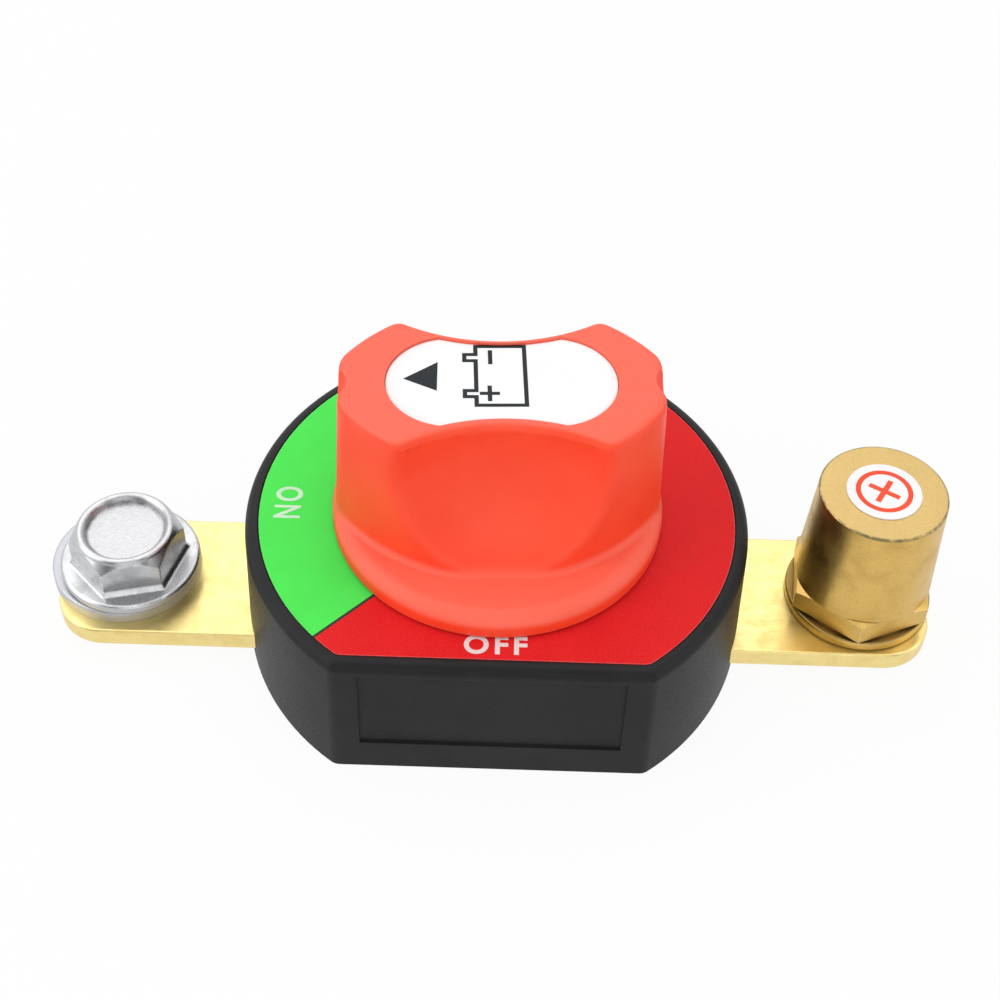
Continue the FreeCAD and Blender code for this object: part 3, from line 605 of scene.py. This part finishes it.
def word(name, text, width, height, heavier):
    """A printed word that fills width by height, its lower left corner at the origin."""
    curve = bpy.data.curves.new(name, "FONT")
    curve.body = text
    curve.size = height
    curve.offset = heavier
    curve.space_character = WORD_SPACING
    curve.extrude = PRINT_THICK / 2
    obj = bpy.data.objects.new(name, curve)
    bpy.context.scene.collection.objects.link(obj)
    obj = to_mesh(obj)
    xs = [v.co.x for v in obj.data.vertices]
    ys = [v.co.y for v in obj.data.vertices]
    scale_x = width / (max(xs) - min(xs))
    scale_y = height / (max(ys) - min(ys))
    fit = Matrix.Diagonal((scale_x, scale_y, 1.0, 1.0)) @ Matrix.Translation((-min(xs), -min(ys), 0))
    obj.data.transform(fit)
    return obj


def cross_outline(centre, half_lengths, line):
    """Plus sign, its half lengths given along X and Y."""
    (x, y), (half_x, half_y), half = centre, half_lengths, line / 2
    corners = [
        (half, half_y), (half, half), (half_x, half),
        (half_x, -half), (half, -half), (half, -half_y),
        (-half, -half_y), (-half, -half), (-half_x, -half),
        (-half_x, half), (-half, half), (-half, half_y),
    ]
    return [(x + across, y + along) for across, along in corners]


def box_outline(x0, x1, y0, y1):
    return [(x0, y0), (x1, y0), (x1, y1), (x0, y1)]


def circle_outline(radius, count=96):
    angles = [2 * math.pi * i / count for i in range(count)]
    return [(radius * math.cos(angle), radius * math.sin(angle)) for angle in angles]


def battery_outline(inset):
    """Battery case with two terminals on its -X side, drawn inset from its outer line."""
    left, right = BATTERY_X[0] + inset, BATTERY_X[1] - inset
    low, high = BATTERY_Y[0] + inset, BATTERY_Y[1] - inset
    tip = BATTERY_TERMINAL_X + inset
    points = [(right, low), (right, high), (left, high)]
    for y0, y1 in reversed(BATTERY_TERMINALS_Y):
        points += [(left, y1 - inset), (tip, y1 - inset), (tip, y0 + inset), (left, y0 + inset)]
    return points + [(left, low)]


def finish_print(obj, body, material):
    """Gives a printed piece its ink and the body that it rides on."""
    obj.data.materials.clear()
    obj.data.materials.append(material)
    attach(obj, body)


def dial_words():
    """OFF reads along X; ON stands across it and reads towards -Y."""
    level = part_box("dial_label")[1].z + PRINT_THICK / 2
    pale_green = ink("on_ink", (0.52, 0.80, 0.58))
    pale_red = ink("off_ink", (0.76, 0.69, 0.69))
    on_width, on_height = WORD_ON_Y[1] - WORD_ON_Y[0], WORD_ON_X[1] - WORD_ON_X[0]
    on = seat(word("word_on", "ON", on_width * MM, on_height * MM, WORD_ON_HEAVIER),
              Vector((WORD_ON_X[0] * MM, WORD_ON_Y[1] * MM, level)), -math.pi / 2)
    off_width, off_height = WORD_OFF_X[1] - WORD_OFF_X[0], WORD_OFF_Y[1] - WORD_OFF_Y[0]
    off = seat(word("word_off", "OFF", off_width * MM, off_height * MM, WORD_OFF_HEAVIER),
               Vector((WORD_OFF_X[0] * MM, WORD_OFF_Y[0] * MM, level)))
    finish_print(on, "case", pale_green)
    finish_print(off, "case", pale_red)


def knob_signs():
    """Arrow that shows the switch's state, and a battery with its two poles."""
    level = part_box("knob_insert")[1].z + PRINT_THICK / 2
    dark = ink("sign_ink", (0.012, 0.016, 0.019))
    plus = cross_outline(PLUS_PLACE, PLUS_HALF, SIGN_LINE)
    minus = box_outline(MINUS_X - SIGN_LINE / 2, MINUS_X + SIGN_LINE / 2, *MINUS_Y)
    signs = {
        "arrow_sign": [ARROW],
        "battery_sign": [battery_outline(0.0), battery_outline(SIGN_LINE)],
        "pole_signs": [plus, minus],
    }
    for name, outlines in signs.items():
        obj = seat(flat_sign(name, outlines), Vector((0, 0, level)), KNOB_TURN)
        finish_print(obj, "switch_rotor", dark)


def post_sign():
    """Plus sign in a ring on the post's round sticker."""
    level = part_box("post_label")[1].z + PRINT_THICK / 2
    red = ink("post_ink", (0.86, 0.09, 0.04))
    half = POST_PLUS_LENGTH / 2
    outlines = [
        circle_outline(POST_RING_OUTER),
        circle_outline(POST_RING_OUTER - POST_RING_LINE),
        cross_outline((0, 0), (half, half), POST_PLUS_LINE),
    ]
    obj = seat(flat_sign("post_sign", outlines), Vector((post_axis.x, post_axis.y, level)), POST_SIGN_TURN)
    finish_print(obj, "case", red)


# Studio

def studio_camera():
    data = bpy.data.cameras.new("camera")
    data.lens = CAMERA_LENS
    data.sensor_width = CAMERA_SENSOR
    data.clip_start = CAMERA_NEAR
    camera = bpy.data.objects.new("camera", data)
    bpy.context.scene.collection.objects.link(camera)
    aim = (CAMERA_TARGET - CAMERA_PLACE).to_track_quat("-Z", "Y").to_matrix().to_4x4()
    camera.matrix_world = Matrix.Translation(CAMERA_PLACE) @ aim @ Matrix.Rotation(CAMERA_ROLL, 4, "Z")
    bpy.context.scene.camera = camera


def seen_directly(tree):
    """1 for what the camera, a reflection or glass shows, 0 for what only lights the object."""
    path = add_node(tree, "ShaderNodeLightPath").outputs
    first = maths(tree, "MAXIMUM", path["Is Camera Ray"], path["Is Glossy Ray"])
    return maths(tree, "MAXIMUM", first, path["Is Transmission Ray"])


def studio_world():
    """White to look at; as light, and in what glossy surfaces mirror, it is toned down."""
    world = bpy.data.worlds.new("studio")
    world.use_nodes = True
    tree = world.node_tree
    back = tree.nodes["Background"]
    feed(tree, back.inputs["Color"], (*WHITE, 1.0))
    way = add_node(tree, "ShaderNodeTexCoord").outputs["Generated"]
    towards_dark = add_node(tree, "ShaderNodeVectorMath", {0: way, 1: DARK_SIDE}, operation="DOT_PRODUCT")
    mirrored = spread(tree, towards_dark.outputs["Value"], 0.35, 0.85, 1.0, DARK_SIDE_LEVEL)
    path = add_node(tree, "ShaderNodeLightPath").outputs
    shown = mix_value(tree, path["Is Glossy Ray"], 1.0, mirrored)
    feed(tree, back.inputs["Strength"], mix_value(tree, seen_directly(tree), SKY_LEVEL, shown))
    bpy.context.scene.world = world


def studio_floor():
    """Pale floor that glows where it is looked at, and reflects plain light onto the object."""
    deselect_all()
    bpy.ops.mesh.primitive_plane_add(size=FLOOR_SIZE, location=(0, 0, -FLOOR_DROP))
    floor = bpy.context.object
    floor.name = "floor"
    material = bpy.data.materials.new("floor_paint")
    material.use_nodes = True
    tree = material.node_tree
    shader = tree.nodes["Principled BSDF"]
    shader.inputs["Base Color"].default_value = (*FLOOR_GREY, 1.0)
    shader.inputs["Roughness"].default_value = 0.9
    glow = add_node(tree, "ShaderNodeEmission", {"Strength": 1.0})
    share = spread(tree, seen_directly(tree), 0.0, 1.0, 0.0, FLOOR_GLOW)
    both = add_node(tree, "ShaderNodeMixShader", {0: share, 1: shader.outputs[0], 2: glow.outputs[0]})
    tree.links.new(both.outputs[0], tree.nodes["Material Output"].inputs["Surface"])
    floor.data.materials.append(material)


def studio_lamp(name, place, size, watts):
    """Round soft lamp that faces the object."""
    data = bpy.data.lights.new(name, "AREA")
    data.shape = "DISK"
    data.size = size
    data.energy = watts
    lamp = bpy.data.objects.new(name, data)
    bpy.context.scene.collection.objects.link(lamp)
    lamp.location = place
    lamp.rotation_euler = (-Vector(place)).to_track_quat("-Z", "Y").to_euler()


clear_scene()
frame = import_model()

# The bolt stands as far out as the post, on the other side
post_axis = box_centre("post_label")
bolt_axis = Vector((-post_axis.x, post_axis.y, 0))
groups = {
    "edges": make_edge_wear_and_highlight(),
    "grain": make_moulded_grain(),
    "turning": make_turning_marks(),
    "scratches": make_scratches(),
}

finishes = {
    "case_black": case_black(),
    "dial_print": dial_print(),
    "zinc_steel": zinc_steel(),
    "bar_brass": bar_brass(),
    "post_brass": post_brass(),
    "contact_copper": contact_copper(),
    "inner_plastic": inner_nylon(),
    "sticker_white": sticker_paper(),
    "bright_zinc": bright_zinc(),
    "seal_rubber": seal_rubber(),
    "knob_red": knob_red(),
    "insert_white": insert_white(),
}
for subpart in frame["record"]["subparts"]:
    frame["nodes"][subpart["node"]].data.materials[0] = finishes[subpart["material_slot"]]

dial_words()
knob_signs()
post_sign()

studio_camera()
studio_world()
studio_floor()
for name, (place, size, watts) in LAMPS.items():
    studio_lamp(name, place, size, watts)
bpy.context.scene.view_settings.view_transform = "Standard"
